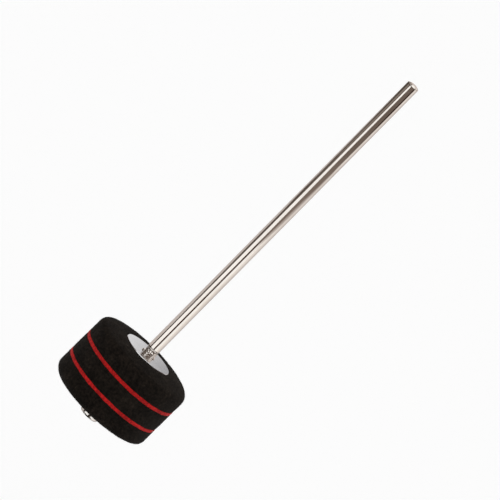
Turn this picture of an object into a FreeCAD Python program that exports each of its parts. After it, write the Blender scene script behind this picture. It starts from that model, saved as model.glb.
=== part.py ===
import FreeCAD, Part
import enum
import math
import os
import Sketcher

# Bass drum beater: a laminated felt head clamped on a round steel shaft.
# Millimetres. +Z runs up the shaft, and the origin is the middle of the nut's underside.
# From the bottom: lock nut with its nylon ring, washer, black felt, red felt, black felt, red felt,
# black felt, washer, shank.

SIZES = [
    ("shank_diameter", 6.0, "bare rod that a pedal grips"),
    ("shank_length", 169.0, "rod above the upper washer"),
    ("tip_chamfer_height", 0.6, "turned edge at the top of the rod, along it"),
    ("tip_chamfer_width", 1.1, "the same edge, across the rod"),
    ("thread_diameter", 5.9, "over the crests of the M6 thread that carries the head"),
    ("thread_lead_in", 0.7, "turned edge at the threaded end"),
    ("thread_clearance", 0.05, "radial, rod to nut"),
    ("crimp_length", 3.8, "pinched rod above the washer, from the thread's diameter to the shank's"),
    ("nut_across_flats", 10.0, "hexagon of an M6 lock nut"),
    ("nut_height", 6.0, "along the shaft, with the collar"),
    ("nut_corner_circle", 8.9, "where the chamfer under the washer starts, as a diameter"),
    ("nut_chamfer_angle", 30.0, "degrees, at both ends of the hexagon"),
    ("nut_countersink", 0.5, "at the washer's end of the nut's bore"),
    ("collar_height", 1.9, "round end of the nut that holds the locking ring"),
    ("collar_edge_radius", 1.1, "outer edge where the collar is turned in"),
    ("collar_wall", 0.65, "around the locking ring"),
    ("collar_lip", 0.5, "thickness of the turned edge that holds the ring in"),
    ("collar_lip_reach", 0.6, "how far that edge reaches in under the ring"),
    ("locking_ring_width", 0.95, "radial, from the thread's clearance outwards"),
    ("locking_ring_thickness", 1.3, "along the shaft"),
    ("locking_ring_clearance", 0.05, "radial, ring to collar"),
    ("washer_diameter", 25.0, "both washers"),
    ("washer_thickness", 1.2, "both washers"),
    ("washer_clearance", 0.1, "radial, rod to washer"),
    ("washer_edge_radius", 0.3, "stamped edge on the outer face"),
    ("upper_seat_depth", 1.2, "how far the upper washer sinks into the felt"),
    ("lower_seat_depth", 2.6, "how far the nut draws the lower washer into the felt"),
    ("washer_seat_clearance", 0.1, "radial, washer to felt"),
    ("head_diameter", 51.0, "all five felts"),
    ("felt_clearance", 0.05, "radial, rod to felt"),
    ("bottom_felt_thickness", 10.9, "at the edge of the washer"),
    ("middle_felt_thickness", 9.0, "between the red felts"),
    ("top_felt_thickness", 10.5, "at the edge of the washer"),
    ("red_felt_thickness", 1.8, "both red felts"),
    ("crown_drop", 2.5, "fall of the outer faces from washer to rim, before rounding"),
    ("rim_radius", 3.8, "rounded rim of the outer felts"),
    ("ear_span", 7.2, "tip to tip across the pinched ears"),
    ("ear_height", 2.2, "ears above the washer"),
    ("ear_lip", 0.6, "upright edge at the ears' tips"),
    ("ear_thickness", 2.6, "across the ears"),
    ("punch_radius", 1.6, "rounded punch that pinches the rod"),
    ("punch_depth", 0.8, "dent on each side of the rod"),
    ("punch_rise", 2.1, "middle of the dents above the washer"),
]

# Heights and radii that several pieces share, worked out from the sizes above
LOWER_WASHER_TOP = "Sizes.nut_height + Sizes.washer_thickness"
HEAD_BOTTOM = f"{LOWER_WASHER_TOP} - Sizes.lower_seat_depth"
LOWER_RED_BASE = f"{HEAD_BOTTOM} + Sizes.bottom_felt_thickness"
MIDDLE_BASE = f"{LOWER_RED_BASE} + Sizes.red_felt_thickness"
UPPER_RED_BASE = f"{MIDDLE_BASE} + Sizes.middle_felt_thickness"
TOP_FELT_BASE = f"{UPPER_RED_BASE} + Sizes.red_felt_thickness"
HEAD_TOP = f"{TOP_FELT_BASE} + Sizes.top_felt_thickness"
UPPER_WASHER_BASE = f"{HEAD_TOP} - Sizes.upper_seat_depth"
UPPER_WASHER_TOP = f"{UPPER_WASHER_BASE} + Sizes.washer_thickness"
CRIMP_TOP = f"{UPPER_WASHER_TOP} + Sizes.crimp_length"
SHAFT_TOP = f"{UPPER_WASHER_TOP} + Sizes.shank_length"
SHANK_RADIUS = "Sizes.shank_diameter / 2"
THREAD_RADIUS = "Sizes.thread_diameter / 2"
HEAD_RADIUS = "Sizes.head_diameter / 2"
FELT_BORE_RADIUS = f"{THREAD_RADIUS} + Sizes.felt_clearance"
SEAT_RADIUS = "Sizes.washer_diameter / 2 + Sizes.washer_seat_clearance"
NUT_CIRCUMRADIUS = "Sizes.nut_across_flats / sqrt(3)"
NUT_BORE_RADIUS = f"{THREAD_RADIUS} + Sizes.thread_clearance"
LOCKING_RING_RADIUS = f"{NUT_BORE_RADIUS} + Sizes.locking_ring_width"
RING_SEAT_RADIUS = f"{LOCKING_RING_RADIUS} + Sizes.locking_ring_clearance"
COLLAR_RADIUS = f"{RING_SEAT_RADIUS} + Sizes.collar_wall"

SIZE_SETTINGS = ("Length", "Radius", "Size", "Height", "Circumradius")
UPSIDE_DOWN = FreeCAD.Rotation(FreeCAD.Vector(1, 0, 0), 180)
NUT_SIDES = 6
HALF_A_SIDE_ROUND = FreeCAD.Rotation(FreeCAD.Vector(0, 0, 1), 180 / NUT_SIDES)
TOLERANCE = 1e-5


class Spot(enum.IntEnum):
    """How a sketch counts the points of a line or an arc"""
    START = 1
    END = 2
    CENTRE = 3


class Axis(enum.IntEnum):
    """How a sketch counts its own axes; the origin is the start of the horizontal one"""
    HORIZONTAL = -1
    VERTICAL = -2


doc = FreeCAD.newDocument("BassDrumBeater")
sheet = doc.addObject("Spreadsheet::Sheet", "Sizes")
for row, (alias, value, note) in enumerate(SIZES, start=1):
    sheet.set(f"A{row}", alias)
    sheet.set(f"B{row}", str(value))
    sheet.setAlias(f"B{row}", alias)
    sheet.set(f"C{row}", note)
doc.recompute()


def size(expression):
    """The present value of an expression over the sizes"""
    return float(sheet.evalExpression(expression))


def new_body(label, height="0", rotation=None):
    """An empty piece, lifted to its place on the shaft"""
    body = doc.addObject("PartDesign::Body", label)
    body.Label = label
    if rotation is not None:
        body.Placement = FreeCAD.Placement(FreeCAD.Vector(0, 0, 0), rotation)
    body.setExpression("Placement.Base.z", height)
    return body


def new_sketch(body, name, role):
    """An empty sketch on one of the piece's own origin planes"""
    sketch = body.newObject("Sketcher::SketchObject", name)
    plane = next(item for item in body.Origin.OriginFeatures if item.Role == role)
    sketch.AttachmentSupport = [(plane, "")]
    sketch.MapMode = "FlatFace"
    return sketch


def fix(sketch, name, kind, where, expression):
    """A named dimension that follows the sizes"""
    number = sketch.addConstraint(Sketcher.Constraint(kind, *where, size(expression)))
    sketch.renameConstraint(number, name)
    sketch.setExpression(f"Constraints.{name}", expression)


def fix_point(sketch, name, geometry, point, across, up):
    """Dimensions from the sketch's origin to a point, or its axis where the distance is nothing"""
    for kind, axis, suffix, expression in (
        ("DistanceX", Axis.VERTICAL, "across", across),
        ("DistanceY", Axis.HORIZONTAL, "up", up),
    ):
        if expression == "0":
            sketch.addConstraint(Sketcher.Constraint("PointOnObject", geometry, point, axis))
        else:
            where = (Axis.HORIZONTAL, Spot.START, geometry, point)
            fix(sketch, f"{name}_{suffix}", kind, where, expression)


def draw_circle(sketch, name, radius, across="0", up="0"):
    """A circle with its radius and centre tied to the sizes"""
    centre = FreeCAD.Vector(size(across), size(up), 0)
    circle = Part.Circle(centre, FreeCAD.Vector(0, 0, 1), size(radius))
    number = sketch.addGeometry(circle)
    fix_point(sketch, name, number, Spot.CENTRE, across, up)
    fix(sketch, f"{name}_radius", "Radius", (number,), radius)


def draw_outline(sketch, name, corners):
    """A closed outline of straight sides between corners given as (across, up) expressions"""
    points = [FreeCAD.Vector(size(across), size(up), 0) for across, up in corners]
    sides = [
        sketch.addGeometry(Part.LineSegment(point, points[(number + 1) % len(points)]))
        for number, point in enumerate(points)
    ]
    for number, side in enumerate(sides):
        following = sides[(number + 1) % len(sides)]
        joint = (side, Spot.END, following, Spot.START)
        sketch.addConstraint(Sketcher.Constraint("Coincident", *joint))
    for number, (across, up) in enumerate(corners):
        fix_point(sketch, f"{name}_corner_{number}", sides[number], Spot.START, across, up)
    return sides


def feature(body, kind, name, **settings):
    """A PartDesign feature: its sizes follow expressions, and its other settings are plain values"""
    made = body.newObject(f"PartDesign::{kind}", name)
    for key, value in settings.items():
        if key in SIZE_SETTINGS:
            made.setExpression(key, value)
        else:
            setattr(made, key, value)
    doc.recompute()
    return made


def turned(body, kind, name, sketch):
    """A Revolution or Groove of a sketch right round the shaft's axis"""
    return feature(body, kind, name, Profile=sketch, ReferenceAxis=(sketch, ["V_Axis"]), Angle=360)


def cut_through(body, name, sketch):
    """A Pocket of a sketch to both sides of its plane, right through the piece"""
    return feature(body, "Pocket", name, Profile=sketch, SideType="Symmetric", Type="ThroughAll")


def round_edges(shape, radius, height):
    """The names of a shape's circular edges of one radius at one height"""
    found = []
    for number, edge in enumerate(shape.Edges, start=1):
        circular = isinstance(edge.Curve, Part.Circle)
        if not circular or abs(edge.Curve.Radius - radius) > TOLERANCE:
            continue
        if abs(edge.Curve.Center.z - height) < TOLERANCE:
            found.append(f"Edge{number}")
    return found


def make_ring(body, outer_radius, bore_radius, thickness):
    """A flat ring that stands on the piece's own XY plane"""
    sketch = new_sketch(body, f"{body.Name}_ring", "XY_Plane")
    draw_circle(sketch, "outer", outer_radius)
    draw_circle(sketch, "bore", bore_radius)
    return feature(body, "Pad", f"{body.Name}_disc", Profile=sketch, Length=thickness)


def make_shaft():
    """The rod, with the two ears that stop the upper washer and the dents that pinched them out"""
    body = new_body("shaft")

    blank = new_sketch(body, "ear_blank", "XZ_Plane")
    ear_top = f"{UPPER_WASHER_TOP} + Sizes.ear_height"
    draw_outline(blank, "ear", [
        ("0", UPPER_WASHER_TOP),
        ("Sizes.ear_span / 2", UPPER_WASHER_TOP),
        ("Sizes.ear_span / 2", f"{UPPER_WASHER_TOP} + Sizes.ear_lip"),
        (THREAD_RADIUS, ear_top),
        ("0", ear_top),
    ])
    turned(body, "Revolution", "ear_collar", blank)

    sides = new_sketch(body, "ear_sides", "XY_Plane")
    for name, direction in (("near", "-1"), ("far", "1")):
        inner = f"{direction} * Sizes.ear_thickness / 2"
        outer = f"{direction} * Sizes.ear_span"
        draw_outline(sides, name, [
            ("-1 * Sizes.ear_span", inner),
            ("Sizes.ear_span", inner),
            ("Sizes.ear_span", outer),
            ("-1 * Sizes.ear_span", outer),
        ])
    cut_through(body, "ears", sides)

    section = new_sketch(body, "rod_section", "XZ_Plane")
    draw_outline(section, "rod", [
        ("0", "0"),
        (f"{THREAD_RADIUS} - Sizes.thread_lead_in", "0"),
        (THREAD_RADIUS, "Sizes.thread_lead_in"),
        (THREAD_RADIUS, UPPER_WASHER_TOP),
        (SHANK_RADIUS, CRIMP_TOP),
        (SHANK_RADIUS, f"{SHAFT_TOP} - Sizes.tip_chamfer_height"),
        (f"{SHANK_RADIUS} - Sizes.tip_chamfer_width", SHAFT_TOP),
        ("0", SHAFT_TOP),
    ])
    turned(body, "Revolution", "rod", section)

    punches = new_sketch(body, "punches", "YZ_Plane")
    reach = f"({THREAD_RADIUS} + Sizes.punch_radius - Sizes.punch_depth)"
    rise = f"{UPPER_WASHER_TOP} + Sizes.punch_rise"
    for name, direction in (("near", "-1"), ("far", "1")):
        draw_circle(punches, name, "Sizes.punch_radius", f"{direction} * {reach}", rise)
    cut_through(body, "pinch", punches)
    return body


def make_nut():
    """A hexagon lock nut, one corner along Y, whose lower end is a round collar closed in under a ring"""
    body = new_body("clamp_nut", rotation=HALF_A_SIDE_ROUND)
    feature(body, "AdditivePrism", "hexagon", Polygon=NUT_SIDES, Circumradius=NUT_CIRCUMRADIUS,
            Height="Sizes.nut_height")

    ends = new_sketch(body, "nut_ends", "XZ_Plane")
    outer = "Sizes.nut_across_flats"
    slope = "tan(Sizes.nut_chamfer_angle * 1 deg)"
    shoulder = f"Sizes.collar_height + ({outer} - ({COLLAR_RADIUS})) * {slope}"
    draw_outline(ends, "collar", [
        (COLLAR_RADIUS, "0"),
        (outer, "0"),
        (outer, shoulder),
        (COLLAR_RADIUS, "Sizes.collar_height"),
    ])
    top = "Sizes.nut_height"
    inner = "Sizes.nut_corner_circle / 2"
    fall = f"({outer} - {inner}) * {slope}"
    draw_outline(ends, "upper", [(inner, top), (outer, top), (outer, f"{top} - {fall}")])
    blank = turned(body, "Groove", "nut_turning", ends)
    edge = round_edges(blank.Shape, size(COLLAR_RADIUS), 0)
    feature(body, "Fillet", "collar_edge", Base=(blank, edge), Radius="Sizes.collar_edge_radius")

    seat = new_sketch(body, "ring_seat", "XZ_Plane")
    mouth = f"{RING_SEAT_RADIUS} - Sizes.collar_lip_reach"
    seat_top = "Sizes.collar_lip + Sizes.locking_ring_thickness"
    draw_outline(seat, "seat", [
        ("0", "0"),
        (mouth, "0"),
        (mouth, "Sizes.collar_lip"),
        (RING_SEAT_RADIUS, "Sizes.collar_lip"),
        (RING_SEAT_RADIUS, seat_top),
        ("0", seat_top),
    ])
    turned(body, "Groove", "ring_hollow", seat)

    hole = new_sketch(body, "nut_hole", "XY_Plane")
    draw_circle(hole, "bore", NUT_BORE_RADIUS)
    bore = cut_through(body, "nut_bore", hole)
    mouth_edge = round_edges(bore.Shape, size(NUT_BORE_RADIUS), size(top))
    feature(body, "Chamfer", "countersink", Base=(bore, mouth_edge), Size="Sizes.nut_countersink")
    return body


def make_locking_ring():
    """The nylon ring in the nut's collar, which grips the thread"""
    body = new_body("locking_ring", "Sizes.collar_lip")
    make_ring(body, LOCKING_RING_RADIUS, NUT_BORE_RADIUS, "Sizes.locking_ring_thickness")
    return body


def make_washer(label, height, rotation=None):
    """A wide washer, flat towards the felt, with a rounded stamped edge outside"""
    body = new_body(label, height, rotation)
    radius = "Sizes.washer_diameter / 2"
    bore_radius = f"{THREAD_RADIUS} + Sizes.washer_clearance"
    disc = make_ring(body, radius, bore_radius, "Sizes.washer_thickness")
    edge = round_edges(disc.Shape, size(radius), size("Sizes.washer_thickness"))
    feature(body, "Fillet", f"{label}_edge", Base=(disc, edge), Radius="Sizes.washer_edge_radius")
    return body


def make_flat_felt(label, height, thickness):
    """A felt disc with straight sides"""
    body = new_body(label, height)
    make_ring(body, HEAD_RADIUS, FELT_BORE_RADIUS, thickness)
    return body


def make_crowned_felt(label, height, thickness, seat_depth, rotation=None):
    """An outer felt: its crowned face is on the XY plane, with the sunk seat of the washer in it"""
    body = new_body(label, height, rotation)
    sketch = new_sketch(body, f"{label}_section", "XZ_Plane")
    sides = draw_outline(sketch, "felt", [
        (FELT_BORE_RADIUS, seat_depth),
        (SEAT_RADIUS, seat_depth),
        (SEAT_RADIUS, "0"),
        (HEAD_RADIUS, "Sizes.crown_drop"),
        (HEAD_RADIUS, thickness),
        (FELT_BORE_RADIUS, thickness),
    ])
    crown_the_face(sketch, sides[2])
    section = turned(body, "Revolution", f"{label}_disc", sketch)
    rim = round_edges(section.Shape, size(HEAD_RADIUS), size("Sizes.crown_drop"))
    feature(body, "Fillet", f"{label}_rim", Base=(section, rim), Radius="Sizes.rim_radius")
    return body


def crown_the_face(sketch, chord):
    """Turns a sloping side into a guide line under an arc that leaves the washer's seat level"""
    sketch.toggleConstruction(chord)
    run = size(f"{HEAD_RADIUS} - ({SEAT_RADIUS})")
    drop = size("Sizes.crown_drop")
    radius = (run * run + drop * drop) / (2 * drop)
    middle = FreeCAD.Vector(size(SEAT_RADIUS), radius, 0)
    circle = Part.Circle(middle, FreeCAD.Vector(0, 0, 1), radius)
    lowest = -math.pi / 2
    arc = sketch.addGeometry(Part.ArcOfCircle(circle, lowest, lowest + math.asin(run / radius)))
    for spot in (Spot.START, Spot.END):
        sketch.addConstraint(Sketcher.Constraint("Coincident", arc, spot, chord, spot))
    sketch.addConstraint(Sketcher.Constraint("Vertical", arc, Spot.CENTRE, arc, Spot.START))


def check_document():
    """Stops if any object failed, or if a cut removed nothing"""
    doc.recompute()
    for item in doc.Objects:
        if "Invalid" in item.State or "Error" in item.State:
            raise RuntimeError(f"{item.Name} failed: {item.State}")
        if item.TypeId in ("PartDesign::Pocket", "PartDesign::Groove"):
            if item.Shape.Volume > item.BaseFeature.Shape.Volume - TOLERANCE:
                raise RuntimeError(f"{item.Name} cut nothing")


def export(bodies):
    """Writes each piece, once every one of them is a single sound solid"""
    for body in bodies:
        if body.Shape.isNull() or not body.Shape.isValid() or len(body.Shape.Solids) != 1:
            raise RuntimeError(f"{body.Label} is not one sound solid")
    os.makedirs("parts", exist_ok=True)
    for body in bodies:
        body.Shape.exportStep(f"parts/{body.Label}.step")
        box = body.Shape.BoundBox
        print(f"{body.Label}: {body.Shape.Volume:.1f} mm3, z {box.ZMin:.2f} to {box.ZMax:.2f}")


pieces = [
    make_shaft(),
    make_nut(),
    make_locking_ring(),
    make_washer("lower_washer", LOWER_WASHER_TOP, UPSIDE_DOWN),
    make_crowned_felt("bottom_felt", HEAD_BOTTOM, "Sizes.bottom_felt_thickness",
                      "Sizes.lower_seat_depth"),
    make_flat_felt("lower_red_felt", LOWER_RED_BASE, "Sizes.red_felt_thickness"),
    make_flat_felt("middle_felt", MIDDLE_BASE, "Sizes.middle_felt_thickness"),
    make_flat_felt("upper_red_felt", UPPER_RED_BASE, "Sizes.red_felt_thickness"),
    make_crowned_felt("top_felt", HEAD_TOP, "Sizes.top_felt_thickness", "Sizes.upper_seat_depth",
                      UPSIDE_DOWN),
    make_washer("upper_washer", UPPER_WASHER_BASE),
]
check_document()
export(pieces)
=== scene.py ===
import math

import bpy
import numpy as np
from mathutils import Matrix, Vector, noise


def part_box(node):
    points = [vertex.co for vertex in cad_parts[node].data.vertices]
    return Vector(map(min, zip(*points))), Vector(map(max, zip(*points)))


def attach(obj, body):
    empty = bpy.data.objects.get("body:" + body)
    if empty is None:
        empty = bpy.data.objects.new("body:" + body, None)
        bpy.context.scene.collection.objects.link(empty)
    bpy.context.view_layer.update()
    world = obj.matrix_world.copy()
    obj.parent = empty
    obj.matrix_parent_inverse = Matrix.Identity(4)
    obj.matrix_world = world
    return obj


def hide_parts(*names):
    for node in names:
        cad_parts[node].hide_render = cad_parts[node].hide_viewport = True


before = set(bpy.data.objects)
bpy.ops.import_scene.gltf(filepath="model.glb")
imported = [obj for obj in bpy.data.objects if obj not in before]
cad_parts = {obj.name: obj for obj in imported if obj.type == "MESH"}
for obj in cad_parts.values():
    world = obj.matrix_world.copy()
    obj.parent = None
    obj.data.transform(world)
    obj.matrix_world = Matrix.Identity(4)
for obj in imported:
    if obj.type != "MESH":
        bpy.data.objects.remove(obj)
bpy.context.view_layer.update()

# Looks of the bass drum beater, in metres. +Z runs up the shaft from the nut to the tip.
# Order: sizes, mesh helpers, materials, felts, shaft, nut and washers, stage, camera.

# Felt head, over the sizes that the frame gives
CROWN_DROP = 0.0025
RIM_RADIUS = 0.0038
SEAT_CLEARANCE = 0.0001
FELT_CLEARANCE = 0.00005
LAYER_EDGE = 0.00015
SEAT_EDGE = 0.00025
FELT_STEP = 0.00032
HIDDEN_STEP = 0.0015
FELT_SIDES = 520

# Matting of the wool, and the share of it on the edges of a felt and on the lip of its seat
LUMP_SIZE, LUMP_HEIGHT = 0.0045, 0.00009
MAT_SIZE, MAT_HEIGHT = 0.0011, 0.00007
MAT_OCTAVES, MAT_FADE = 3, 0.8
EDGE_RELIEF, LIP_RELIEF = 0.9, 0.3

# Fractal noise: how much finer each octave is than the one before
OCTAVE_RATIO = 2.0

# Glued seams, which stray up and down round the head and creep over the red felts.
# The spread sets them apart in the noise, so that each strays in its own way.
SEAM_LENGTH, SEAM_WANDER, SEAM_REACH = 0.0032, 0.00014, 0.0040
SEAM_OCTAVES = 3
SEAM_SPREAD = 3.2
SEAM_CREEP = (0.00009, -0.00009, 0.00004, -0.00004)

# The soft head stands a little out of square: slopes of its faces and seams towards one side
SLOPE_TOWARDS = math.radians(-8)
BOTTOM_SLOPE, SEAM_SLOPE, TOP_SLOPE = 0.017, -0.0155, -0.009
SLOPE_FROM, SLOPE_RUN = 0.0130, 0.0060

# How much fuller a rim is towards that side and away from it, and how far the sides stand proud
RIM_SWELLS = {"bottom_felt": (0.00040, -0.00032), "top_felt": (-0.00004, 0.00036)}
SIDE_SWELL = 0.00010

# Sag of the top felt's lip: its place and depth, how far below the top it starts and is whole,
# and the width of the step that it has at the wall of the seat
SAG_TOWARDS, SAG_DEPTH, SAG_REACH, SAG_FOCUS = math.radians(-114), 0.00055, 0.0060, 40
SAG_START, SAG_WHOLE = 0.0024, 0.0004
SEAT_WALL = 0.00001

# Loose wool on the felt
FIBRES_PER_SQUARE_METRE = 1.6e6
FIBRE_LENGTH = (0.0005, 0.0015)
FIBRE_RADIUS = 0.000013
FIBRE_LIFT = (0.00004, 0.00022)
FIBRE_BEND, FIBRE_ARCH, FIBRE_TAPER = 0.45, 2.4, 0.6
FIBRE_RINGS = 4
FIBRE_SIDES = 3

# Shaft and thread, whose crests and roots are given as shares of the pitch from a crest's middle
SHAFT_SIDES = 192
THREAD_RADIUS = 0.00295
THREAD_PITCH = 0.0010
THREAD_DEPTH = 0.5413 * THREAD_PITCH
CREST_END, ROOT_START = 1 / 16, 3 / 8
THREAD_LENGTH = 0.0140
THREAD_RUN_OUT = 0.0010
THREAD_LEAD_IN = 0.0007
THREAD_ROWS_PER_TURN = 12

# Rows of the shaft's plain stretches, and how far off their neighbours they start and end
PLAIN_ROWS, PLAIN_START, PLAIN_END = 6, 0.002, 0.00002
SHANK_ROWS, SHANK_END = 60, 0.0005

# Tip of the shaft: its chamfer, the rounding of the chamfer's edges and the share of it at their middle
TIP_CHAMFER_HEIGHT, TIP_CHAMFER_WIDTH = 0.0006, 0.0011
TIP_ROUND, TIP_BEND = 0.00008, 0.3

# Lock nut, with its nylon ring
NUT_SIDES = 6
NUT_BORE_RADIUS = 0.0030
NUT_COUNTERSINK = 0.0005
NUT_CORNER_RADIUS = 0.00445
NUT_CHAMFER_SLOPE = math.tan(math.radians(30))
NUT_ROW = 0.00005
COLLAR_RADIUS, COLLAR_HEIGHT, COLLAR_EDGE = 0.00465, 0.0019, 0.0008
COLLAR_MOUTH_RADIUS = 0.0034
RING_CLEARANCE, RING_EDGE, RING_WELD = 0.00005, 0.00010, 0.000001
RING_SEGMENTS = 2

# Washers
WASHER_BORE_CLEARANCE = 0.0001
WASHER_CHAMFER = 0.0003
WASHER_BREAK = 0.00005

# Angles, in degrees, over which an edge stays crisp or is broken
METAL_SHARP, WASHER_SHARP, RING_SHARP = 40, 20, 25

# Pinched rod, from just above the upper washer: two ears whose backs fall away in a hollow curve.
# From a share of its length on, it fades into the round shank.
CRIMP_LENGTH, CRIMP_FOOT, CRIMP_FADE = 0.0038, 0.00001, 0.85
CRIMP_STEP = 0.00007
CRIMP_SOFTNESS = 0.00012
EAR_HEIGHT = 0.0022
EAR_LIP = 0.0006
EAR_HALF_THICKNESS = 0.0013
EAR_HOLLOW = 3.2

# Least sine or cosine that a flat's distance is divided by
LEAST_ACROSS = 0.05

# What the jaws leave on it: a punched dent, four flats, a neck above one ear and the marks of their teeth,
# of which a share is also outside the dent
PUNCH_RADIUS, PUNCH_DEPTH, PUNCH_RISE = 0.0011, 0.00055, 0.0027
FLAT_REACH, FLAT_FROM, FLAT_TO, FLAT_SOFTNESS = 0.00293, 0.0003, 0.0031, 0.00005
FLAT_OPENING = 2
NECK_HEIGHTS = (0.0006, 0.0009, 0.0025, 0.0033)
NECK_REACHES = (0.0037, 0.00255, 0.00255, 0.0031)
TOOTH_HEIGHT, TOOTH_PITCH, TEETH_ROUND = 0.00008, 0.0012, 14
TOOTH_TURN = math.radians(40)
TOOTH_SHARE = 0.7
DENT_SIZE, DENT_HEIGHT, DENT_OCTAVES = 0.0007, 0.00007, 2

# Photograph's view: the pixel that shows the middle of the upper washer, and the scale there
AZIMUTH, ELEVATION = math.radians(-8), math.radians(12.45)
SHAFT_SLOPE = math.radians(45.35)
WASHER_PIXEL = (148.4, 354.1)
PIXELS = 500
METRES_PER_PIXEL = 0.000438
CAMERA_DISTANCE, CLIP_END = 6.0, 50.0
SENSOR = 36.0

# Stage: strengths are for the light that is given, and for what the eye and the metal see
AIR_STRENGTH, FLOOR_STRENGTH = (0.55, 1.0), (0.10, 0.24)
FLOOR_PAINT = (0.86, 0.86, 0.86)
FLOOR_DROP = 0.10
FLOOR_RADIUS, FLOOR_SIDES = 6.0, 96

# Distances of the mirrored cards from the shaft: a nearer card covers those behind it
GLINT_DISTANCE, CEILING_DISTANCE, NEAR = 0.440, 0.445, 0.450
COLLAR_DISTANCE, FADE_DISTANCE = 0.452, 0.455
DIM_DISTANCE, LOW_DISTANCE, FAR, BACK = 0.456, 0.458, 0.460, 0.470
CARD_COLUMNS = 24

# Cards that lie on the floor are lifted off it, and the shade off them, by a hair
CARD_LIFT = 0.0005
LYING_FROM = 0.040
CARD_FLOOR = CARD_LIFT - FLOOR_DROP
SHADE_FLOOR = CARD_FLOOR + CARD_LIFT

# Shades of the cards
BLACK, INK, DARK = (0.032, 0.013, 0.008), (0.053, 0.027, 0.018), (0.075, 0.058, 0.048)
# The first shade on the next line is painted shade: the beater's own shadow on the floor and the dark lines
# along the floor, as the metal mirrors them
PAINTED_SHADE, CHARCOAL, UMBER = (0.030, 0.026, 0.022), (0.045, 0.037, 0.032), (0.14, 0.114, 0.10)
BROWN, TAN, MOCHA = (0.145, 0.114, 0.098), (0.19, 0.152, 0.132), (0.20, 0.175, 0.155)
BRONZE, TAUPE, SLATE = (0.30, 0.26, 0.23), (0.30, 0.27, 0.25), (0.39, 0.385, 0.395)
GREY, PALE, BEIGE = (0.53, 0.49, 0.48), (0.62, 0.57, 0.55), (0.63, 0.565, 0.54)
SILVER, CREAM = (0.81, 0.80, 0.80), (0.95, 0.92, 0.89)

# Sizes and places that the frame gives
FELTS = ("bottom_felt", "lower_red_felt", "middle_felt", "upper_red_felt", "top_felt")
SEAMS = [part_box(name)[0].z for name in FELTS[1:]]
HEAD_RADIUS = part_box("middle_felt")[1].x
HEAD_BOTTOM, HEAD_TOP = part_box("bottom_felt")[0].z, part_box("top_felt")[1].z
WASHER_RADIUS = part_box("upper_washer")[1].x
WASHER_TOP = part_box("upper_washer")[1].z
EAR_REACH, SHANK_RADIUS, SHAFT_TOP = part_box("shaft")[1]
SEAT_RADIUS = WASHER_RADIUS + SEAT_CLEARANCE
FELT_BORE = THREAD_RADIUS + FELT_CLEARANCE
WASHER_BORE = THREAD_RADIUS + WASHER_BORE_CLEARANCE


# Mesh helpers

def smooth_step(low, high, value):
    """An even curve from 0 at low to 1 at high, flat beyond both"""
    share = np.clip((value - low) / (high - low), 0, 1)
    return share * share * (3 - 2 * share)


def soft_max(a, b, softness):
    """The larger of two values, with the corner between them rounded"""
    return (a + b + np.sqrt((a - b) ** 2 + softness ** 2)) / 2


def soft_min(a, b, softness):
    """The smaller of two values, with the corner between them rounded"""
    return (a + b - np.sqrt((a - b) ** 2 + softness ** 2)) / 2


def each_point(function, points):
    """A number for each point of an array of any shape"""
    flat = points.reshape(-1, 3)
    values = np.fromiter((function(Vector(p)) for p in flat), float, len(flat))
    return values.reshape(points.shape[:-1])


def fractal(points, size, octaves, fade=1.0):
    """Fractal noise at each point, whose octaves get finer from the given size"""
    return each_point(lambda p: noise.fractal(p / size, fade, OCTAVE_RATIO, octaves), points)


def make_object(name, points, faces, material):
    """A new mesh object of one material"""
    mesh = bpy.data.meshes.new(name)
    mesh.from_pydata(np.asarray(points).reshape(-1, 3).tolist(), [], faces)
    mesh.materials.append(material)
    made = bpy.data.objects.new(name, mesh)
    bpy.context.scene.collection.objects.link(made)
    return made


def make_piece(name, points, faces, material, sharp=None):
    """A smooth-shaded piece, with edges over the sharp angle left crisp"""
    piece = make_object(name, points, faces, material)
    piece.data.polygons.foreach_set("use_smooth", [True] * len(piece.data.polygons))
    if sharp is not None:
        piece.data.set_sharp_from_angle(angle=math.radians(sharp))
    return piece


def grid_faces(rows, sides, closed, downward=False):
    """Quads that face outward, over rows of points round the axis that go up the outside, or down it"""
    row = np.arange(rows if closed else rows - 1)[:, None]
    side = np.arange(sides)[None, :]
    after = (row + 1) % rows
    beside = (side + 1) % sides
    corners = (row * sides + side, row * sides + beside, after * sides + beside, after * sides + side)
    if downward:
        corners = corners[::-1]
    return np.stack(corners, -1).reshape(-1, 4).tolist()


def round_angles(sides):
    """Even angles once round the axis"""
    return np.arange(sides) * (2 * math.pi / sides)


def swept(radii, heights, angles):
    """Points at a height for each row, and at radii per row or per row and angle, round the axis"""
    radii = np.broadcast_to(radii, (len(heights), len(angles)))
    return np.stack((radii * np.cos(angles), radii * np.sin(angles), heights[:, None] + 0 * radii), -1)


def all_round(radii):
    """Rows that each keep one radius round the shaft or the nut"""
    return np.tile(np.reshape(radii, (-1, 1)), SHAFT_SIDES)


# Materials

def new_material(name):
    """An empty node material and its output"""
    material = bpy.data.materials.new(name)
    material.use_nodes = True
    material.node_tree.nodes.clear()
    return material, material.node_tree, material.node_tree.nodes.new("ShaderNodeOutputMaterial")


def add_node(tree, kind, inputs=None, **settings):
    """A node with its settings, and inputs that are values or other nodes' sockets"""
    made = tree.nodes.new(kind)
    for key, value in settings.items():
        setattr(made, key, value)
    for key, value in (inputs or {}).items():
        if isinstance(value, bpy.types.NodeSocket):
            tree.links.new(value, made.inputs[key])
        else:
            made.inputs[key].default_value = value
    return made


def add_math(tree, operation, a, b):
    """A sum, product or the like of two values"""
    return add_node(tree, "ShaderNodeMath", {0: a, 1: b}, operation=operation).outputs[0]


def add_noise(tree, where, scale, detail=3.0, roughness=0.5, distortion=0.0, kind="FBM"):
    """Noise in space, from 0 to 1"""
    inputs = {"Vector": where, "Scale": scale, "Detail": detail, "Roughness": roughness,
              "Distortion": distortion}
    return add_node(tree, "ShaderNodeTexNoise", inputs, noise_type=kind).outputs["Fac"]


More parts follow.
